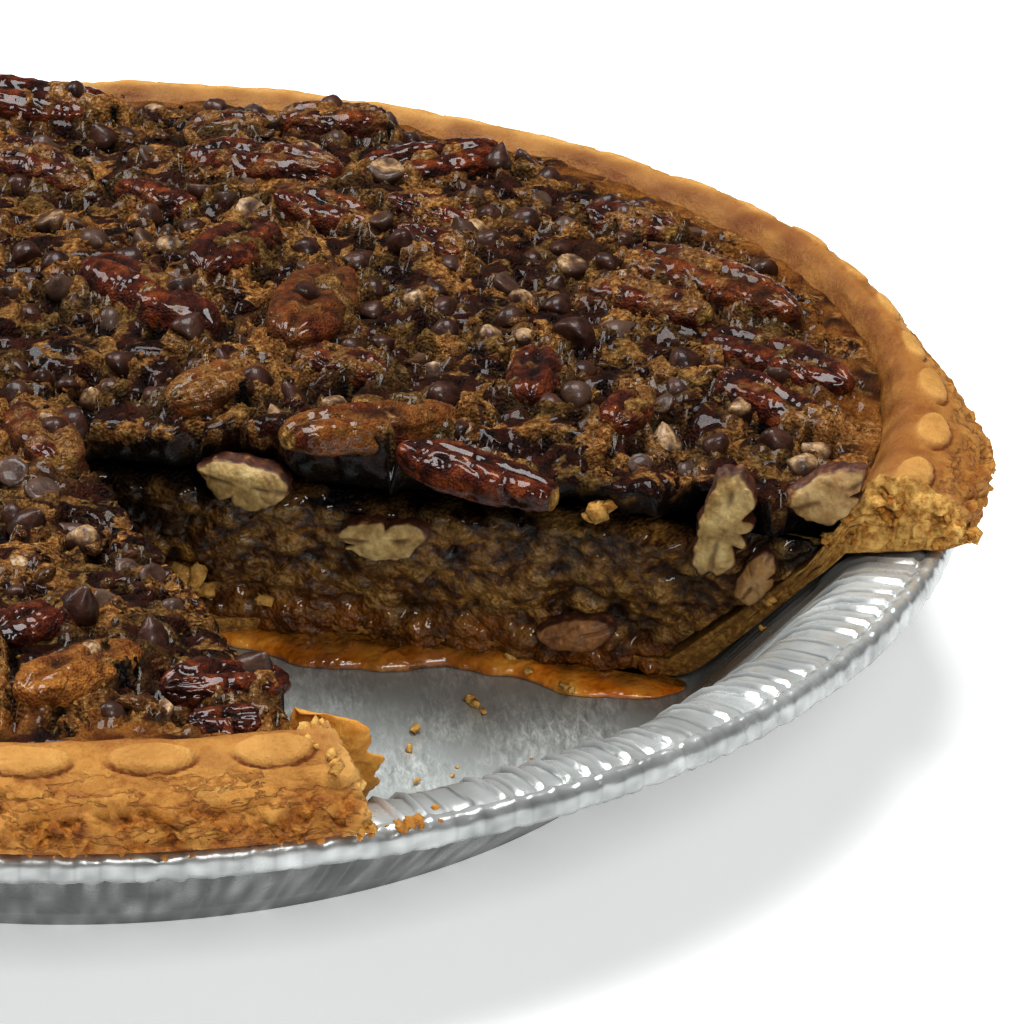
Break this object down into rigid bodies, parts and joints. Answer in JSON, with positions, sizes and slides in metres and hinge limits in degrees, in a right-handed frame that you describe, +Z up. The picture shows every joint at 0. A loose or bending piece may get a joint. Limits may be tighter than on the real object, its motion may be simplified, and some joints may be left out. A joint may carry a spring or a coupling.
{
  "type": "pecan pie",
  "caption": "Round pecan pie with chocolate chips in a pleated foil tin, crimped pastry rim, one slice cut out to show the filling.",
  "frame": {"origin": "centre of the tin's underside, on the surface that the tin rests on", "axes": "+Z up through the middle of the pie; the missing slice opens between -Y and +X, and the round outline has no front of its own"},
  "size_m": [0.2262, 0.2254, 0.0421],
  "materials": {
    "foil": "bright crinkled foil with a satin, scuffed floor",
    "pastry": "matt baked pastry, golden tan, browner on its ridges, with a few glossy caramel spots",
    "filling": "moist lumpy custard, very dark olive brown",
    "topping": "bubbly baked crust, amber brown, half matt",
    "chocolate": "dark chocolate, satin, some with a pale bloom",
    "syrup": "wet, glossy amber",
    "pecan": "baked pecan skin, deep red brown, sticky gloss on the ridges",
    "cut_pecan": "pale cut nut flesh inside a thin brown skin"
  },
  "bodies": {
    "root": {"foil_tin": "foil", "crust": "pastry", "filling": "filling", "topping": "topping", "syrup": "syrup", "pecan_01": "pecan", "pecan_02": "pecan", "pecan_03": "pecan", "pecan_04": "pecan", "pecan_05": "pecan", "pecan_06": "pecan", "pecan_07": "pecan", "pecan_08": "pecan", "pecan_09": "pecan", "pecan_10": "pecan", "pecan_11": "pecan", "pecan_12": "pecan", "pecan_13": "pecan", "pecan_14": "pecan", "pecan_15": "pecan", "pecan_16": "pecan", "pecan_17": "pecan", "pecan_18": "pecan", "pecan_19": "pecan", "pecan_20": "pecan", "pecan_21": "pecan", "pecan_22": "pecan", "pecan_23": "pecan", "pecan_24": "pecan", "pecan_25": "pecan", "pecan_26": "pecan", "pecan_27": "pecan", "pecan_28": "pecan", "pecan_29": "pecan", "pecan_30": "pecan", "pecan_31": "pecan", "pecan_32": "pecan", "pecan_33": "pecan", "pecan_34": "pecan", "pecan_35": "pecan", "pecan_36": "pecan", "pecan_37": "pecan", "pecan_38": "pecan", "pecan_39": "pecan", "pecan_40": "pecan", "pecan_41": "pecan", "pecan_42": "pecan", "pecan_43": "pecan", "pecan_44": "pecan", "pecan_45": "pecan", "pecan_46": "pecan", "cut_pecan_1": "cut_pecan", "cut_pecan_2": "cut_pecan", "cut_pecan_3": "cut_pecan", "cut_pecan_4": "cut_pecan", "cut_pecan_5": "cut_pecan", "cut_pecan_6": "cut_pecan", "cut_pecan_7": "cut_pecan", "cut_pecan_8": "cut_pecan"}
  },
  "joints": []
}
